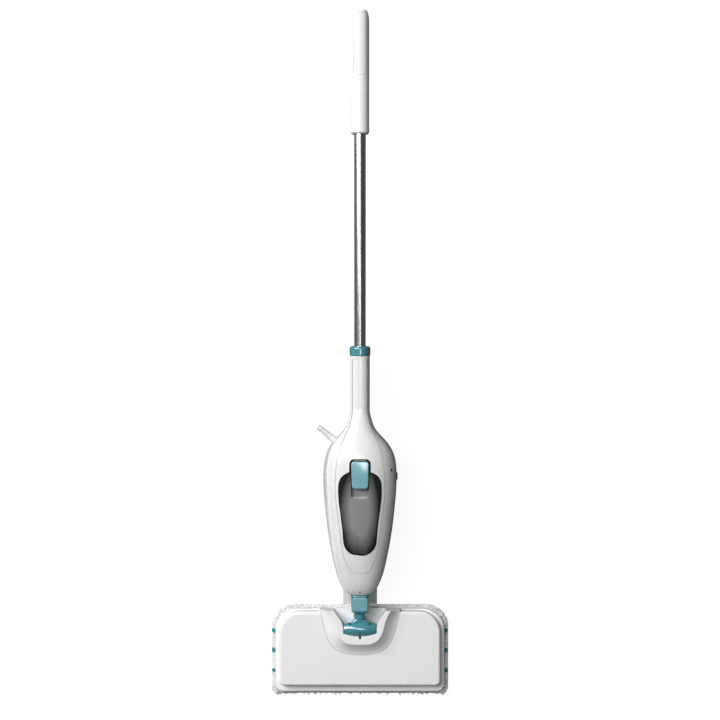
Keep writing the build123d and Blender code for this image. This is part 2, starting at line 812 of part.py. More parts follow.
def add_head():
    parts["mop_pad"] = mop_pad()
    parts["pad_tab"] = pad_tab()
    parts["hook_strips"] = hook_strips()
    parts["base_plate"] = base_plate()
    parts["base_screws"] = base_screws()
    parts["head_cover"] = head_cover()
    parts["joint_shroud"] = joint_shroud()
    parts["stop_key"] = stop_key()
    parts["pivot_studs"] = pivot_studs()
    parts["steam_diffuser"] = steam_diffuser()
    parts["steam_riser"] = steam_riser()


def handle_parts():
    outer = body_form(0, 1)
    proud = body_form(-1.4, 1)
    made = {
        "joint_barrel": joint_barrel(),
        "swivel_pin": swivel_pin(),
        "neck_tube": neck_tube(),
        "swivel_seal": swivel_seal(),
        "collar": collar(),
        "release_button": release_button(),
        "button_spring": button_spring(),
        "spigot_seals": spigot_seals(),
        "housing_front": housing_front(outer),
        "housing_rear": housing_rear(),
        "front_fascia": front_fascia(outer),
        "tank_bay": tank_bay(),
        "water_tank": water_tank(),
        "tank_cap": tank_cap(),
        "tank_valve": tank_valve(),
        "tank_latch": tank_latch(proud),
        "latch_spring": latch_spring(),
        "steam_spigot": steam_spigot(),
        "boiler": boiler(),
        "heating_element": heating_element(),
        "thermostats": thermostats(),
        "steam_pipe": steam_pipe(),
        "pump": pump(),
        "pump_mounts": pump_mounts(),
        "valve_seat": valve_seat(),
        "water_hose": water_hose(),
        "boiler_hose": boiler_hose(),
        "circuit_board": circuit_board(),
        "indicator_lamp": indicator_lamp(),
        "steam_dial": steam_dial(),
        "dial_switch": dial_switch(),
        "steam_trigger": steam_trigger(),
        "trigger_pin": trigger_pin(),
        "trigger_switch": trigger_switch(),
        "strain_relief": strain_relief(),
        "cord_clamp": cord_clamp(),
        "housing_screws": housing_screws(),
        "pole_socket": pole_socket(),
        "pole_ring": pole_ring(),
        "pole": pole(),
        "pole_plugs": Compound(children=[pole_plug(441.5, 456), pole_plug(948, 964)]),
        "grip_front": grip_front(),
        "grip_rear": grip_rear(),
        "grip_inlay": grip_inlay(),
        "grip_core": grip_core(),
    }
    return made


def add_handle():
    frame = Location((0, pivot_y, pivot_z), (rest_slope, 0, 0))
    for name, shape in handle_parts().items():
        parts[name] = frame * shape
    # The heel is ground flat where the handheld unit lies on the floor
    parts["housing_rear"] -= box((-90, 90), (200, 500), (-20, 0))


add_head()
add_handle()
os.makedirs("parts", exist_ok=True)
for name, shape in parts.items():
    export_step(shape, f"parts/{name}.step")
print(len(parts), "parts")
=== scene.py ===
import bpy
import bmesh
import json
import math
import random
from mathutils import Matrix, Vector, noise


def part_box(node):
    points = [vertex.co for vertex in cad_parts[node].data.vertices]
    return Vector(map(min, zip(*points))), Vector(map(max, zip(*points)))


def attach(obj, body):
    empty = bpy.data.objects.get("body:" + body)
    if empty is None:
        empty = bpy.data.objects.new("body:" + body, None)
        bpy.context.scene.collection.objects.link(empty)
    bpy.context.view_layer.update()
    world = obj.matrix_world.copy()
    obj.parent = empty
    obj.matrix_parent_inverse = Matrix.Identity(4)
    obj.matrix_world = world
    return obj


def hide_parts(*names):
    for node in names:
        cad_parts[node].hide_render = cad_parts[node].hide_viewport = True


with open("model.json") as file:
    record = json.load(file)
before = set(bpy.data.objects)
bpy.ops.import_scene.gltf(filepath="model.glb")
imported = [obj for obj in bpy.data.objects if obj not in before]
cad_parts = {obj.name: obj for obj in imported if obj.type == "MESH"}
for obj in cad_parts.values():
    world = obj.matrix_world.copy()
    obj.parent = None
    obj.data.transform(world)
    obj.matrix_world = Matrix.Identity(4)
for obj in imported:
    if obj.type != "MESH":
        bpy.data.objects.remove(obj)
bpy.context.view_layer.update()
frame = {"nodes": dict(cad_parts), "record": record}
nodes = frame["nodes"]
print("stage: frame loaded")


# Small helpers for node trees and meshes

def addNode(tree, kind, inputs=None, **settings):
    node = tree.nodes.new(kind)
    for name, value in settings.items():
        setattr(node, name, value)
    for name, value in (inputs or {}).items():
        node.inputs[name].default_value = value
    return node


def newGroup(name, inputs, outputs):
    group = bpy.data.node_groups.new(name, "ShaderNodeTree")
    for label, kind, value in inputs:
        socket = group.interface.new_socket(label, in_out="INPUT", socket_type=kind)
        socket.default_value = value
    for label, kind in outputs:
        group.interface.new_socket(label, in_out="OUTPUT", socket_type=kind)
    return group, addNode(group, "NodeGroupInput"), addNode(group, "NodeGroupOutput")


def meshPiece(name, vertices, faces, material, smooth=True):
    mesh = bpy.data.meshes.new(name)
    mesh.from_pydata(vertices, [], faces)
    mesh.update()
    for polygon in mesh.polygons:
        polygon.use_smooth = smooth
    piece = bpy.data.objects.new(name, mesh)
    bpy.context.scene.collection.objects.link(piece)
    if material:
        mesh.materials.append(material)
    return piece


def applyModifiers(piece):
    bpy.context.view_layer.update()
    graph = bpy.context.evaluated_depsgraph_get()
    baked = bpy.data.meshes.new_from_object(piece.evaluated_get(graph))
    piece.modifiers.clear()
    piece.data = baked
    return piece


# Shader groups shared by several materials

def makeMouldGrain():
    # Fine texture and faint flow marks of moulded plastic
    group, source, sink = newGroup(
        "mouldGrain",
        [
            ("Color", "NodeSocketColor", (0.8, 0.8, 0.8, 1)),
            ("Shade", "NodeSocketColor", (0.7, 0.7, 0.7, 1)),
            ("Grain Size", "NodeSocketFloat", 900.0),
            ("Roughness Low", "NodeSocketFloat", 0.2),
            ("Roughness High", "NodeSocketFloat", 0.35),
        ],
        [("Color", "NodeSocketColor"), ("Roughness", "NodeSocketFloat"), ("Height", "NodeSocketFloat")],
    )
    place = addNode(group, "ShaderNodeTexCoord")
    grain = addNode(group, "ShaderNodeTexNoise", {"Detail": 3.0, "Roughness": 0.6})
    flow = addNode(group, "ShaderNodeTexNoise", {"Scale": 9.0, "Detail": 4.0, "Distortion": 0.8})
    rub = addNode(group, "ShaderNodeTexNoise", {"Scale": 60.0, "Detail": 5.0, "Roughness": 0.7})
    spread = addNode(group, "ShaderNodeMapRange", {"From Min": 0.35, "From Max": 0.68})
    tint = addNode(group, "ShaderNodeMix", data_type="RGBA")
    link = group.links.new
    for texture in (grain, flow, rub):
        link(place.outputs["Object"], texture.inputs["Vector"])
    link(source.outputs["Grain Size"], grain.inputs["Scale"])
    link(flow.outputs["Fac"], tint.inputs["Factor"])
    link(source.outputs["Color"], tint.inputs["A"])
    link(source.outputs["Shade"], tint.inputs["B"])
    link(rub.outputs["Fac"], spread.inputs["Value"])
    link(source.outputs["Roughness Low"], spread.inputs["To Min"])
    link(source.outputs["Roughness High"], spread.inputs["To Max"])
    link(tint.outputs["Result"], sink.inputs["Color"])
    link(spread.outputs["Result"], sink.inputs["Roughness"])
    link(grain.outputs["Fac"], sink.inputs["Height"])
    return group


def makeBrushedLines():
    # Long drawn lines of metal, along one axis
    group, source, sink = newGroup(
        "brushedLines",
        [
            ("Stretch", "NodeSocketVector", (900.0, 12.0, 900.0)),
            ("Roughness Low", "NodeSocketFloat", 0.1),
            ("Roughness High", "NodeSocketFloat", 0.3),
        ],
        [("Roughness", "NodeSocketFloat"), ("Height", "NodeSocketFloat"), ("Mask", "NodeSocketFloat")],
    )
    place = addNode(group, "ShaderNodeTexCoord")
    scale = addNode(group, "ShaderNodeVectorMath", operation="MULTIPLY")
    lines = addNode(group, "ShaderNodeTexNoise", {"Scale": 1.0, "Detail": 4.0, "Roughness": 0.65})
    patches = addNode(group, "ShaderNodeTexNoise", {"Scale": 14.0, "Detail": 3.0})
    spread = addNode(group, "ShaderNodeMapRange", {"From Min": 0.3, "From Max": 0.7})
    link = group.links.new
    link(place.outputs["Object"], scale.inputs[0])
    link(source.outputs["Stretch"], scale.inputs[1])
    link(scale.outputs["Vector"], lines.inputs["Vector"])
    link(place.outputs["Object"], patches.inputs["Vector"])
    link(lines.outputs["Fac"], spread.inputs["Value"])
    link(source.outputs["Roughness Low"], spread.inputs["To Min"])
    link(source.outputs["Roughness High"], spread.inputs["To Max"])
    link(spread.outputs["Result"], sink.inputs["Roughness"])
    link(lines.outputs["Fac"], sink.inputs["Height"])
    link(patches.outputs["Fac"], sink.inputs["Mask"])
    return group


def makeFibreTone():
    # Uneven tone and fine fuzz of yarn
    group, source, sink = newGroup(
        "fibreTone",
        [
            ("Color", "NodeSocketColor", (0.9, 0.9, 0.9, 1)),
            ("Deep Color", "NodeSocketColor", (0.6, 0.6, 0.6, 1)),
            ("Fibre Size", "NodeSocketFloat", 700.0),
        ],
        [("Color", "NodeSocketColor"), ("Height", "NodeSocketFloat")],
    )
    place = addNode(group, "ShaderNodeTexCoord")
    fuzz = addNode(group, "ShaderNodeTexNoise", {"Detail": 6.0, "Roughness": 0.75})
    clumps = addNode(group, "ShaderNodeTexVoronoi", {"Scale": 260.0})
    blend = addNode(group, "ShaderNodeMath", operation="MULTIPLY")
    tint = addNode(group, "ShaderNodeMix", data_type="RGBA")
    link = group.links.new
    link(place.outputs["Object"], fuzz.inputs["Vector"])
    link(place.outputs["Object"], clumps.inputs["Vector"])
    link(source.outputs["Fibre Size"], fuzz.inputs["Scale"])
    link(fuzz.outputs["Fac"], blend.inputs[0])
    link(clumps.outputs["Distance"], blend.inputs[1])
    link(blend.outputs["Value"], tint.inputs["Factor"])
    link(source.outputs["Color"], tint.inputs["A"])
    link(source.outputs["Deep Color"], tint.inputs["B"])
    link(tint.outputs["Result"], sink.inputs["Color"])
    link(fuzz.outputs["Fac"], sink.inputs["Height"])
    return group


mouldGrain = makeMouldGrain()
brushedLines = makeBrushedLines()
fibreTone = makeFibreTone()


# Materials

bumpDepth = {"plastic": 0.0004, "metal": 0.0002, "fibre": 0.0008}


def newMaterial(name, **fixed):
    material = bpy.data.materials.new(name)
    material.use_nodes = True
    tree = material.node_tree
    shader = tree.nodes["Principled BSDF"]
    for label, value in fixed.items():
        shader.inputs[label.replace("_", " ")].default_value = value
    return material, tree, shader


def addBump(tree, shader, height, strength, distance):
    bump = addNode(tree, "ShaderNodeBump", {"Strength": strength, "Distance": distance})
    tree.links.new(height, bump.inputs["Height"])
    tree.links.new(bump.outputs["Normal"], shader.inputs["Normal"])


def plastic(name, color, shade, rough, grain=900.0, bump=0.12, **fixed):
    material, tree, shader = newMaterial(name, **fixed)
    group = addNode(tree, "ShaderNodeGroup", node_tree=mouldGrain)
    group.inputs["Color"].default_value = (*color, 1)
    group.inputs["Shade"].default_value = (*shade, 1)
    group.inputs["Grain Size"].default_value = grain
    group.inputs["Roughness Low"].default_value = rough[0]
    group.inputs["Roughness High"].default_value = rough[1]
    tree.links.new(group.outputs["Color"], shader.inputs["Base Color"])
    tree.links.new(group.outputs["Roughness"], shader.inputs["Roughness"])
    addBump(tree, shader, group.outputs["Height"], bump, bumpDepth["plastic"])
    return material


def metal(name, color, dull, rough, stretch, bump=0.05, **fixed):
    material, tree, shader = newMaterial(name, Metallic=1.0, **fixed)
    group = addNode(tree, "ShaderNodeGroup", node_tree=brushedLines)
    group.inputs["Stretch"].default_value = stretch
    group.inputs["Roughness Low"].default_value = rough[0]
    group.inputs["Roughness High"].default_value = rough[1]
    tint = addNode(tree, "ShaderNodeMix", data_type="RGBA")
    tint.inputs["A"].default_value = (*color, 1)
    tint.inputs["B"].default_value = (*dull, 1)
    tree.links.new(group.outputs["Mask"], tint.inputs["Factor"])
    tree.links.new(tint.outputs["Result"], shader.inputs["Base Color"])
    tree.links.new(group.outputs["Roughness"], shader.inputs["Roughness"])
    addBump(tree, shader, group.outputs["Height"], bump, bumpDepth["metal"])
    return material


def fibre(name, color, deep, size=700.0, bump=0.5, **fixed):
    material, tree, shader = newMaterial(name, Roughness=0.95, **fixed)
    group = addNode(tree, "ShaderNodeGroup", node_tree=fibreTone)
    group.inputs["Color"].default_value = (*color, 1)
    group.inputs["Deep Color"].default_value = (*deep, 1)
    group.inputs["Fibre Size"].default_value = size
    tree.links.new(group.outputs["Color"], shader.inputs["Base Color"])
    addBump(tree, shader, group.outputs["Height"], bump, bumpDepth["fibre"])
    return material


smokeStyle = {
    "clear": (0.36, 0.363, 0.365),
    # painted shade: the tint runs from the clear colour in the middle to the deep colour at the side walls
    "deep": (0.022, 0.023, 0.024),
    "wall": (0.030, 0.070),     # half width and half height of the middle, past which the painted shade of the walls grows, in metres
    "middleShift": -0.008,     # shift of that middle along the handle, from the middle of the tank
    # painted reflection: strength, slant and scale of soft slanting streaks in the tank's tint
    "reflectionStreaks": 0.35,
    "reflectionStreakSlant": -32,         # degrees
    "reflectionStreakScale": (70, 9, 9),
    "paintedShadeSpan": (0.70, 1.30),
    "roughness": (0.06, 0.14),
    "bump": 0.02,
}


def makeSmokyTankPaintedShade():
    # See-through smoky plastic, with painted shade that darkens its tint towards the side walls and soft
    # slanting streaks of painted reflection
    material, tree, shader = newMaterial("smokyTankPaintedShade", Transmission_Weight=0.3, IOR=1.45,
                                         Coat_Weight=0.6, Coat_Roughness=0.05)
    low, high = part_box("water_tank")
    middle = (low + high) / 2
    halfWidth, halfHeight = smokeStyle["wall"]
    link = tree.links.new
    place = addNode(tree, "ShaderNodeTexCoord")
    centred = addNode(tree, "ShaderNodeVectorMath", operation="SUBTRACT")
    centred.inputs[1].default_value = (middle.x, middle.y + smokeStyle["middleShift"], middle.z)
    scaled = addNode(tree, "ShaderNodeVectorMath", operation="MULTIPLY")
    scaled.inputs[1].default_value = (1 / halfWidth, 1 / halfHeight, 0)
    wallShadeReach = addNode(tree, "ShaderNodeVectorMath", operation="LENGTH")
    slant = addNode(tree, "ShaderNodeMapping")
    slant.inputs["Rotation"].default_value = (0, 0, math.radians(smokeStyle["reflectionStreakSlant"]))
    slant.inputs["Scale"].default_value = smokeStyle["reflectionStreakScale"]
    # painted reflection streaks, slanted across the tank
    reflectionStreaks = addNode(tree, "ShaderNodeTexNoise", {"Scale": 1.0, "Detail": 3.0, "Distortion": 0.6})
    paintedShadeMix = addNode(tree, "ShaderNodeMath", operation="MULTIPLY_ADD")
    paintedShadeMix.inputs[1].default_value = smokeStyle["reflectionStreaks"]
    # painted shade: the tint darkens with distance from the middle towards the side walls, mixed with the
    # painted reflection streaks
    pale, dark = smokeStyle["paintedShadeSpan"]
    depth = addNode(tree, "ShaderNodeMapRange", {"From Min": pale, "From Max": dark})
    tint = addNode(tree, "ShaderNodeMix", data_type="RGBA")
    tint.inputs["A"].default_value = (*smokeStyle["clear"], 1)
    tint.inputs["B"].default_value = (*smokeStyle["deep"], 1)
    group = addNode(tree, "ShaderNodeGroup", node_tree=mouldGrain)
    glossy, dull = smokeStyle["roughness"]
    group.inputs["Roughness Low"].default_value = glossy
    group.inputs["Roughness High"].default_value = dull
    link(place.outputs["Object"], centred.inputs[0])
    link(centred.outputs["Vector"], scaled.inputs[0])
    link(scaled.outputs["Vector"], wallShadeReach.inputs[0])
    link(place.outputs["Object"], slant.inputs["Vector"])
    link(slant.outputs["Vector"], reflectionStreaks.inputs["Vector"])
    link(reflectionStreaks.outputs["Fac"], paintedShadeMix.inputs[0])
    link(wallShadeReach.outputs["Value"], paintedShadeMix.inputs[2])
    link(paintedShadeMix.outputs["Value"], depth.inputs["Value"])
    link(depth.outputs["Result"], tint.inputs["Factor"])
    link(tint.outputs["Result"], shader.inputs["Base Color"])
    link(group.outputs["Roughness"], shader.inputs["Roughness"])
    addBump(tree, shader, group.outputs["Height"], smokeStyle["bump"], bumpDepth["plastic"])
    return material


whiteShell = plastic("whiteShell", (0.79, 0.79, 0.79), (0.75, 0.75, 0.755), (0.20, 0.32), bump=0.05,
                     Coat_Weight=0.3, Coat_Roughness=0.12)
whiteCover = plastic("whiteCover", (0.85, 0.85, 0.85), (0.82, 0.82, 0.825), (0.28, 0.38), bump=0.03)
whiteBase = plastic("whiteBase", (0.90, 0.90, 0.90), (0.88, 0.88, 0.885), (0.30, 0.42), bump=0.03)
tealGloss = plastic("tealGloss", (0.070, 0.275, 0.325), (0.060, 0.245, 0.290), (0.16, 0.26), bump=0.04,
                    Coat_Weight=1.0, Coat_Roughness=0.10, Coat_IOR=1.8)
tealLight = plastic("tealLight", (0.19, 0.43, 0.48), (0.17, 0.40, 0.45), (0.20, 0.30), bump=0.05,
                    Coat_Weight=1.0, Coat_Roughness=0.16, Coat_IOR=1.8)
blackPlastic = plastic("blackPlastic", (0.014, 0.014, 0.015), (0.02, 0.02, 0.02), (0.4, 0.6), bump=0.2)
greyPlastic = plastic("greyPlastic", (0.20, 0.205, 0.21), (0.16, 0.165, 0.17), (0.35, 0.5), bump=0.15)
dialGrey = plastic("dialGrey", (0.10, 0.10, 0.105), (0.08, 0.08, 0.085), (0.3, 0.45), bump=0.12)
reliefRubber = plastic("reliefRubber", (0.74, 0.74, 0.73), (0.68, 0.68, 0.67), (0.5, 0.7), 500.0, 0.25)
blackRubber = plastic("blackRubber", (0.02, 0.02, 0.02), (0.03, 0.03, 0.03), (0.6, 0.8), 500.0, 0.3)
boardGreen = plastic("boardGreen", (0.015, 0.09, 0.04), (0.01, 0.06, 0.03), (0.3, 0.5), bump=0.1)
siliconeTube = plastic("siliconeTube", (0.62, 0.62, 0.58), (0.55, 0.55, 0.52), (0.35, 0.5), bump=0.08,
                       Transmission_Weight=0.25)
lampLens = plastic("lampLens", (0.10, 0.11, 0.12), (0.08, 0.09, 0.10), (0.08, 0.14), bump=0.03,
                   Coat_Weight=0.6)
smokyTankPaintedShade = makeSmokyTankPaintedShade()
brightPole = metal("brightPole", (0.86, 0.86, 0.87), (0.80, 0.80, 0.81), (0.20, 0.27),
                   (700.0, 6.0, 700.0), 0.02)
steel = metal("steel", (0.55, 0.55, 0.56), (0.42, 0.42, 0.43), (0.22, 0.42), (600.0, 600.0, 60.0), 0.1)
castAluminium = metal("castAluminium", (0.55, 0.55, 0.56), (0.45, 0.45, 0.46), (0.4, 0.6),
                      (300.0, 300.0, 300.0), 0.3)
padWhite = fibre("padWhite", (0.93, 0.93, 0.92), (0.80, 0.80, 0.79), Sheen_Weight=0.4)
padTeal = fibre("padTeal", (0.02, 0.34, 0.42), (0.015, 0.24, 0.30), Sheen_Weight=0.2)
tabCloth = fibre("tabCloth", (0.62, 0.62, 0.61), (0.42, 0.42, 0.41), 500.0, 0.4)
threadWhite = fibre("threadWhite", (0.80, 0.80, 0.79), (0.60, 0.60, 0.59), 900.0, 0.3)
hookTape = fibre("hookTape", (0.05, 0.05, 0.05), (0.03, 0.03, 0.03), 900.0, 0.6)

slotMaterials = {
    "white_plastic": whiteShell,
    "teal_plastic": tealGloss,
    "light_teal_plastic": tealLight,
    "smoky_clear_plastic": smokyTankPaintedShade,
    "black_plastic": blackPlastic,
    "grey_plastic": greyPlastic,
    "chrome_tube": brightPole,
    "steel": steel,
    "cast_aluminium": castAluminium,
    "silicone": siliconeTube,
    "black_rubber": blackRubber,
    "white_rubber": reliefRubber,
    "microfibre": padWhite,
    "tab_fabric": tabCloth,
    "hook_tape": hookTape,
    "green_board": boardGreen,
    "lamp_lens": lampLens,
}
ownMaterials = {
    "head_cover": whiteCover,
    "joint_shroud": whiteCover,
    "base_plate": whiteBase,
    "steam_dial": dialGrey,
}


def dressFrame():
    for part in frame["record"]["subparts"]:
        name = part["node"]
        mesh = nodes[name].data
        mesh.materials.clear()
        mesh.materials.append(ownMaterials.get(name, slotMaterials[part["material_slot"]]))


dressFrame()
print("stage: materials ready")


# Mop pad: a stuffed cloth body with a microfibre pile on its sides, rim and sole

padStyle = {
    "pileInset": 0.0024,      # how far the cloth body stays inside the pile
    "frontCorner": 0.016,
    "backCorner": 0.042,
    "profile": ((0.08, 0.0030), (0.22, 0.0), (0.44, 0.0012), (0.70, 0.0040), (0.97, 0.0080)),
    "voxel": 0.004,
    "pressure": 4.0,
    "swellSteps": 20,
    "maxSwell": 0.0014,
    "unevenness": 0.0005,
    "unevenScale": 90,
    "soleLift": 0.0012,       # the swollen body keeps this far above the floor
    "topGap": 0.0004,         # and this far below the top of the pad
    "rimWidth": 0.0150,       # the pile shows this far in from the pad's edge
    "rimFacing": -0.7,        # rim faces point further up than this
    "soleFacing": -0.6,       # and sole faces further down than this
    "plainFront": 0.012,      # depth of the smooth band along the front edge
    "rimTufts": {"count": 7200, "lengths": (0.0026, 0.0048), "radii": (0.0006, 0.0011), "rise": 1.0},
    "soleTufts": {"count": 5200, "lengths": (0.0035, 0.0060), "radii": (0.0009, 0.0014), "rise": 0.25},
    "tuftSpread": 0.5,
    "tuftLean": 0.6,
    "tuftTwist": 1.5,
    "tuftSides": 5,
    "tuftRings": ((0.0, 0.8), (0.45, 1.0), (0.85, 0.7)),
    "edgeMargin": 0.0002,     # the pile stays this far inside the pad's own box
    "soleMargin": 0.0001,
    "topRise": 0.0012,        # and stands at most this far above it
    "stripes": (-0.0355, 0.0, 0.0355),
    "stripeHalfWidth": 0.0036,
    "seed": 11,
}


def roundedOutline(width, front, back, frontCorner, backCorner, steps=10):
    half = width / 2
    corners = [
        (half - frontCorner, front + frontCorner, frontCorner, -90),
        (half - backCorner, back - backCorner, backCorner, 0),
        (-half + backCorner, back - backCorner, backCorner, 90),
        (-half + frontCorner, front + frontCorner, frontCorner, 180),
    ]
    points = []
    for x, y, radius, start in corners:
        for step in range(steps + 1):
            angle = math.radians(start + 90 * step / steps)
            points.append((x + radius * math.cos(angle), y + radius * math.sin(angle)))
    return points


def cappedLoft(name, loops, material):
    # Closed skin through a stack of equal loops, with flat ends
    count = len(loops[0])
    vertices = [point for loop in loops for point in loop]
    faces = [tuple(range(count - 1, -1, -1))]
    for level in range(len(loops) - 1):
        base = level * count
        for index in range(count):
            after = (index + 1) % count
            faces.append((base + index, base + after, base + count + after, base + count + index))
    top = (len(loops) - 1) * count
    faces.append(tuple(range(top, top + count)))
    return meshPiece(name, vertices, faces, material)


def padBody():
    low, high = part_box("mop_pad")
    inset = padStyle["pileInset"]
    loops = []
    for rise, draw in padStyle["profile"]:
        gap = inset + draw
        outline = roundedOutline(
            high.x - low.x - 2 * gap, low.y + gap, high.y - gap,
            padStyle["frontCorner"] - gap / 2, padStyle["backCorner"] - gap,
        )
        height = low.z + (high.z - low.z) * rise
        loops.append([(x, y, height) for x, y in outline])
    return cappedLoft("mopPad", loops, padWhite)


def settlePad(vertices):
    # Brings the swollen body back to its own size, with a slight unevenness
    low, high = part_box("mop_pad")
    inset = padStyle["pileInset"]
    widest = max(vertex.co.x for vertex in vertices)
    front = min(vertex.co.y for vertex in vertices)
    back = max(vertex.co.y for vertex in vertices)
    stretchX = (high.x - inset) / widest
    stretchY = (high.y - low.y - 2 * inset) / (back - front)
    bottom = low.z + padStyle["soleLift"]
    top = high.z - padStyle["topGap"]
    scale, unevenness = padStyle["unevenScale"], padStyle["unevenness"]
    for vertex in vertices:
        vertex.co.x *= stretchX
        vertex.co.y = low.y + inset + (vertex.co.y - front) * stretchY
        vertex.co.z = min(max(vertex.co.z, bottom), top)
        vertex.co.x += noise.noise(vertex.co * scale) * unevenness
        vertex.co.y += noise.noise(vertex.co * scale + Vector((5, 5, 5))) * unevenness


def swellPad(piece):
    remesh = piece.modifiers.new("remesh", "REMESH")
    remesh.mode = "VOXEL"
    remesh.voxel_size = padStyle["voxel"]
    remesh.use_smooth_shade = True
    applyModifiers(piece)
    rest = [vertex.co.copy() for vertex in piece.data.vertices]
    cloth = piece.modifiers.new("cloth", "CLOTH")
    cloth.settings.use_pressure = True
    cloth.settings.uniform_pressure_force = padStyle["pressure"]
    cloth.settings.effector_weights.gravity = 0
    for step in range(1, padStyle["swellSteps"] + 1):
        bpy.context.scene.frame_set(step)
    applyModifiers(piece)
    bpy.context.scene.frame_set(1)
    limit = padStyle["maxSwell"]
    for vertex, start in zip(piece.data.vertices, rest):
        move = vertex.co - start
        if move.length > limit:
            vertex.co = start + move * (limit / move.length)
    settlePad(piece.data.vertices)
    piece.modifiers.new("smoothing", "SUBSURF").levels = 1
    applyModifiers(piece)
    for polygon in piece.data.polygons:
        polygon.use_smooth = True
    return piece


def tuftShape(length, radius, lean):
    # One short curled yarn end: rings along a bent line, closed by a tip
    sides, twist = padStyle["tuftSides"], padStyle["tuftTwist"]
    rings = []
    for along, thick in padStyle["tuftRings"]:
        centre = Vector((lean * along * along, 0, length * along))
        ring = []
        for side in range(sides):
            angle = 2 * math.pi * side / sides + twist * along
            ring.append(centre + Vector((math.cos(angle), math.sin(angle), 0)) * radius * thick)
        rings.append(ring)
    vertices = [point for ring in rings for point in ring] + [Vector((lean, 0, length))]
    faces = []
    for level in range(2):
        for side in range(sides):
            after = (side + 1) % sides
            base = level * sides
            faces.append((base + side, base + after, base + sides + after, base + sides + side))
    for side in range(sides):
        faces.append((2 * sides + side, 2 * sides + (side + 1) % sides, 3 * sides))
    return vertices, faces


def edgeDistance(point, low, high):
    return min(point.x - low.x, high.x - point.x, point.y - low.y, high.y - point.y)


def withinPad(spot, low, high):
    margin = padStyle["edgeMargin"]
    spot.x = min(max(spot.x, low.x + margin), high.x - margin)
    spot.y = min(max(spot.y, low.y + margin), high.y - margin)
    spot.z = min(max(spot.z, low.z + padStyle["soleMargin"]), high.z + padStyle["topRise"])
    return spot


def onStripe(spot):
    return any(abs(spot.y - stripe) < padStyle["stripeHalfWidth"] for stripe in padStyle["stripes"])


def growPile(name, body, keep, tufts):
    # Scatters tufts over the faces that keep() accepts, the same number to each area
    low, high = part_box("mop_pad")
    chooser = random.Random(padStyle["seed"] + len(name))
    mesh = body.data
    spots = [polygon for polygon in mesh.polygons if keep(polygon, low, high)]
    total = sum(polygon.area for polygon in spots)
    vertices, faces, teal = [], [], []
    owed = 0.0
    spread, lean = padStyle["tuftSpread"], padStyle["tuftLean"]
    for polygon in spots:
        owed += tufts["count"] * polygon.area / total
        corners = [mesh.vertices[index].co for index in polygon.vertices]
        while owed > 0:
            owed -= 1
            weights = [chooser.random() + 0.05 for corner in corners]
            root = sum((corner * w for corner, w in zip(corners, weights)), Vector()) / sum(weights)
            stray = Vector((chooser.uniform(-1, 1), chooser.uniform(-1, 1), chooser.uniform(-1, 1)))
            aim = polygon.normal + stray * spread
            aim.z *= tufts["rise"]
            aim.normalize()
            length = chooser.uniform(*tufts["lengths"])
            radius = chooser.uniform(*tufts["radii"])
            shape, sides = tuftShape(length, radius, chooser.uniform(-lean, lean) * length)
            turn = aim.to_track_quat("Z", "X")
            start = len(vertices)
            for point in shape:
                vertices.append(withinPad(root + turn @ point, low, high))
            faces += [tuple(start + index for index in side) for side in sides]
            teal += [int(onStripe(root))] * len(sides)
    piece = meshPiece(name, vertices, faces, padWhite)
    piece.data.materials.append(padTeal)
    piece.data.polygons.foreach_set("material_index", teal)
    return piece


def onRim(polygon, low, high):
    spot = polygon.center
    plain = padStyle["plainFront"]
    if spot.y < low.y + plain and abs(spot.x) < high.x - plain:
        return False
    return edgeDistance(spot, low, high) < padStyle["rimWidth"] and polygon.normal.z > padStyle["rimFacing"]


def onSole(polygon, low, high):
    return polygon.normal.z < padStyle["soleFacing"]


def makePad():
    body = swellPad(padBody())
    rim = growPile("padRimPile", body, onRim, padStyle["rimTufts"])
    sole = growPile("padSolePile", body, onSole, padStyle["soleTufts"])
    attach(body, "head")
    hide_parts("mop_pad")
    for pile in (rim, sole):
        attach(pile, "head")
    return body


makePad()
print("stage: mop pad")


# Pull tab: two layers of webbing sewn to the back of the pad

tabStyle = {
    "columns": 28,
    "rows": 14,
    "corner": 0.010,
    "thickness": 0.0022,
    "sag": 0.0010,
    "wave": 0.0006,
    "waveScale": 180,
    "stitchGap": 0.0032,
    "stitchInset": 0.0028,
    "stitchRise": 0.0012,
    "stitchRadii": (0.00035, 0.00035, 0.0011),
    "rowEnds": (0.004, 0.008),    # the side rows of stitches stop this far from the tab's ends
}


def tabHeight(x, y, low, high):
    along = (y - low.y) / (high.y - low.y)
    sag = tabStyle["sag"] * math.sin(math.pi * along)
    return (low.z + high.z) / 2 + sag + tabStyle["wave"] * math.sin(x * tabStyle["waveScale"]) * along


def makeTab():
    low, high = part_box("pad_tab")
    columns, rows = tabStyle["columns"], tabStyle["rows"]
    halfWidth = (high.x - low.x) / 2
    corner = tabStyle["corner"]
    vertices, faces = [], []
    for row in range(rows + 1):
        y = low.y + (high.y - low.y) * row / rows
        past = max(0.0, y - (high.y - corner))
        width = halfWidth - corner + math.sqrt(max(corner * corner - past * past, 0.0))
        for column in range(columns + 1):
            x = width * (2 * column / columns - 1)
            vertices.append((x, y, tabHeight(x, y, low, high)))
    for row in range(rows):
        for column in range(columns):
            start = row * (columns + 1) + column
            faces.append((start, start + 1, start + columns + 2, start + columns + 1))
    tab = meshPiece("padTab", vertices, faces, tabCloth)
    thick = tab.modifiers.new("thick", "SOLIDIFY")
    thick.thickness = tabStyle["thickness"]
    thick.offset = 0
    tab.modifiers.new("soft", "SUBSURF").levels = 1
    applyModifiers(tab)
    for polygon in tab.data.polygons:
        polygon.use_smooth = True
    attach(tab, "head")
    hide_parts("pad_tab")
    stitches = makeTabStitches(low, high, halfWidth)
    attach(stitches, "head")


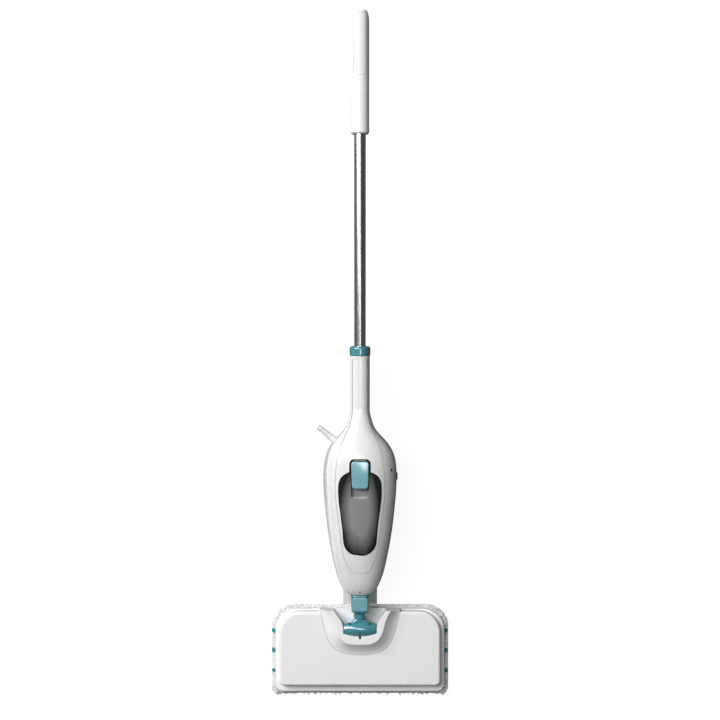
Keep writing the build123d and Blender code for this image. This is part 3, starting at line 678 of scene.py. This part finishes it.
def makeTabStitches(low, high, halfWidth):
    inset, corner = tabStyle["stitchInset"], tabStyle["corner"]
    nearEnd, farEnd = tabStyle["rowEnds"]
    path = []
    y = low.y + nearEnd
    while y < high.y - farEnd:
        path.append((halfWidth - inset, y, 90))
        path.append((-halfWidth + inset, y, 90))
        y += tabStyle["stitchGap"]
    x = -halfWidth + corner
    while x < halfWidth - corner:
        path.append((x, high.y - inset, 0))
        x += tabStyle["stitchGap"]
    stitches = bmesh.new()
    for x, y, turn in path:
        place = Matrix.Translation((x, y, tabHeight(x, y, low, high) + tabStyle["stitchRise"]))
        place = place @ Matrix.Rotation(math.radians(turn), 4, "Z") @ Matrix.Rotation(math.pi / 2, 4, "Y")
        place = place @ Matrix.Diagonal((*tabStyle["stitchRadii"], 1))
        bmesh.ops.create_uvsphere(stitches, u_segments=8, v_segments=6, radius=1.0, matrix=place)
    mesh = bpy.data.meshes.new("tabStitches")
    stitches.to_mesh(mesh)
    stitches.free()
    mesh.materials.append(threadWhite)
    for polygon in mesh.polygons:
        polygon.use_smooth = True
    piece = bpy.data.objects.new("tabStitches", mesh)
    bpy.context.scene.collection.objects.link(piece)
    return piece


makeTab()
print("stage: pull tab")


# Hook tape that holds the pad, between it and the base

hookStyle = {
    "tapeWidth": 0.022,
    "corner": 0.004,
    "backing": 0.0005,
    "pitch": 0.0030,
    "height": 0.0009,
    "radius": 0.00045,
    "tipRadius": 0.000225,
}


def tapeOutlines():
    # Both tapes are one node, and one lies along the front and one along the back of its box
    low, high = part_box("hook_strips")
    width = hookStyle["tapeWidth"]
    return [(low.y, low.y + width), (high.y - width, high.y)]


def makeHookTape():
    low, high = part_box("hook_strips")
    tape = bmesh.new()
    for front, back in tapeOutlines():
        centre = Matrix.Translation((0, (front + back) / 2, high.z - hookStyle["backing"] / 2))
        size = Matrix.Diagonal((high.x - low.x, back - front, hookStyle["backing"], 1))
        made = bmesh.ops.create_cube(tape, size=1.0, matrix=centre @ size)
        upright = [
            edge for edge in {edge for vertex in made["verts"] for edge in vertex.link_edges}
            if abs(edge.verts[0].co.z - edge.verts[1].co.z) > 0.0001
        ]
        bmesh.ops.bevel(tape, geom=upright, offset=hookStyle["corner"], segments=4, affect="EDGES")
        rows = int((back - front) / hookStyle["pitch"])
        columns = int((high.x - low.x) / hookStyle["pitch"])
        for row in range(rows):
            for column in range(columns):
                x = low.x + (column + 0.5) * hookStyle["pitch"]
                y = front + (row + 0.5) * hookStyle["pitch"]
                z = high.z - hookStyle["backing"] - hookStyle["height"] / 2
                bmesh.ops.create_cone(
                    tape, segments=5, radius1=hookStyle["radius"], radius2=hookStyle["tipRadius"],
                    depth=hookStyle["height"], matrix=Matrix.Translation((x, y, z)),
                )
    mesh = bpy.data.meshes.new("hookTape")
    tape.to_mesh(mesh)
    tape.free()
    mesh.materials.append(hookTape)
    piece = bpy.data.objects.new("hookTape", mesh)
    bpy.context.scene.collection.objects.link(piece)
    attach(piece, "head")
    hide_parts("hook_strips")


makeHookTape()
print("stage: hook tape")


# Floor, lights and camera

studio = {
    "floorSize": 12.0,
    "floorDrop": 0.0005,
    "floorGlow": 0.93,
    "floorColor": (0.10, 0.10, 0.10),
    "world": (0.055, 0.0555, 0.056),
    "backdrop": (0.88, 0.88, 0.88),
    "cameraHeight": 2.15,
    "cameraY": 0.5175,
    "lens": 60.0,
    "sensorWidth": 36,
    "aim": (0, 0.5, 0),
    "lights": {
        "keySoftbox": {"place": (-2.1, 2.0, 2.3), "size": (1.9, 2.8), "power": 156},
        "topSoftbox": {"place": (-0.42, 0.9, 3.3), "size": (0.62, 2.6), "power": 30},
    },
}


def makeFloor():
    half = studio["floorSize"] / 2
    corners = [(-half, -half, 0), (half, -half, 0), (half, half, 0), (-half, half, 0)]
    material = bpy.data.materials.new("studioFloor")
    material.use_nodes = True
    tree = material.node_tree
    tree.nodes.clear()
    matt = addNode(tree, "ShaderNodeBsdfDiffuse", {"Color": (*studio["floorColor"], 1)})
    glow = addNode(tree, "ShaderNodeEmission", {"Strength": studio["floorGlow"]})
    both = addNode(tree, "ShaderNodeAddShader")
    choose = addNode(tree, "ShaderNodeMixShader")
    rays = addNode(tree, "ShaderNodeLightPath")
    sink = addNode(tree, "ShaderNodeOutputMaterial")
    link = tree.links.new
    link(matt.outputs["BSDF"], both.inputs[0])
    link(glow.outputs["Emission"], both.inputs[1])
    link(rays.outputs["Is Camera Ray"], choose.inputs["Fac"])
    link(matt.outputs["BSDF"], choose.inputs[1])
    link(both.outputs["Shader"], choose.inputs[2])
    link(choose.outputs["Shader"], sink.inputs["Surface"])
    floor = meshPiece("studioFloor", corners, [(0, 1, 2, 3)], material, False)
    floor.location.z = -studio["floorDrop"]


def addLight(name, place, size, power):
    light = bpy.data.lights.new(name, "AREA")
    light.shape = "RECTANGLE"
    light.size, light.size_y = size
    light.energy = power
    lamp = bpy.data.objects.new(name, light)
    lamp.location = place
    aim = Vector(studio["aim"]) - Vector(place)
    lamp.rotation_euler = aim.to_track_quat("-Z", "Y").to_euler()
    bpy.context.scene.collection.objects.link(lamp)


def makeWorld():
    # Dim soft surroundings for the object, and a pale backdrop behind it
    world = bpy.data.worlds.new("studioWorld")
    world.use_nodes = True
    tree = world.node_tree
    tree.nodes.clear()
    dim = addNode(tree, "ShaderNodeBackground", {"Color": (*studio["world"], 1)})
    pale = addNode(tree, "ShaderNodeBackground", {"Color": (*studio["backdrop"], 1)})
    rays = addNode(tree, "ShaderNodeLightPath")
    choose = addNode(tree, "ShaderNodeMixShader")
    sink = addNode(tree, "ShaderNodeOutputWorld")
    tree.links.new(rays.outputs["Is Camera Ray"], choose.inputs["Fac"])
    tree.links.new(dim.outputs["Background"], choose.inputs[1])
    tree.links.new(pale.outputs["Background"], choose.inputs[2])
    tree.links.new(choose.outputs["Shader"], sink.inputs["Surface"])
    bpy.context.scene.world = world


def makeStudio():
    makeFloor()
    for name, values in studio["lights"].items():
        addLight(name, **values)
    makeWorld()
    bpy.context.scene.view_settings.view_transform = "Standard"
    lens = bpy.data.cameras.new("viewCamera")
    lens.lens = studio["lens"]
    lens.sensor_width = studio["sensorWidth"]
    camera = bpy.data.objects.new("viewCamera", lens)
    camera.location = (0, studio["cameraY"], studio["cameraHeight"])
    bpy.context.scene.collection.objects.link(camera)
    bpy.context.scene.camera = camera


makeStudio()
print("stage: studio")
